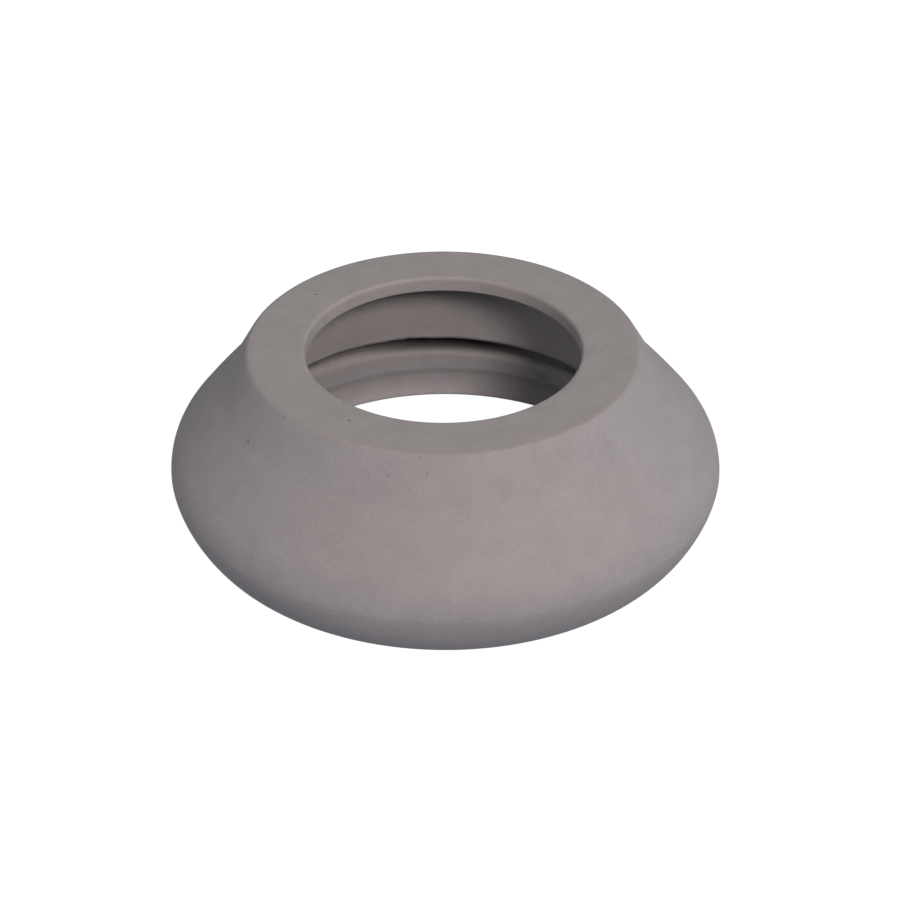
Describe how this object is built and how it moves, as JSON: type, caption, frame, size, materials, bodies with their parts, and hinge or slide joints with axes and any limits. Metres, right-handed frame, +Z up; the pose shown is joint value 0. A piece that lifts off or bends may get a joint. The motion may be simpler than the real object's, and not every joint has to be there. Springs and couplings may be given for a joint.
{
  "type": "waste pipe sleeve",
  "caption": "Round grey rubber sleeve with a flat top ring, pipe hole, flared neck and domed shoulder; inside, a socket, a slot and a bead take a wider spout.",
  "frame": {"origin": "centre of the foot, in the plane the sleeve stands on", "axes": "+Z up along the axis of the pipe hole, from the foot to the top ring; X and Y are alike"},
  "size_m": [0.08, 0.08, 0.0273],
  "materials": {
    "rubber": "matte moulded rubber, warm grey-brown"
  },
  "bodies": {
    "root": {"sleeve": "rubber"}
  },
  "joints": []
}
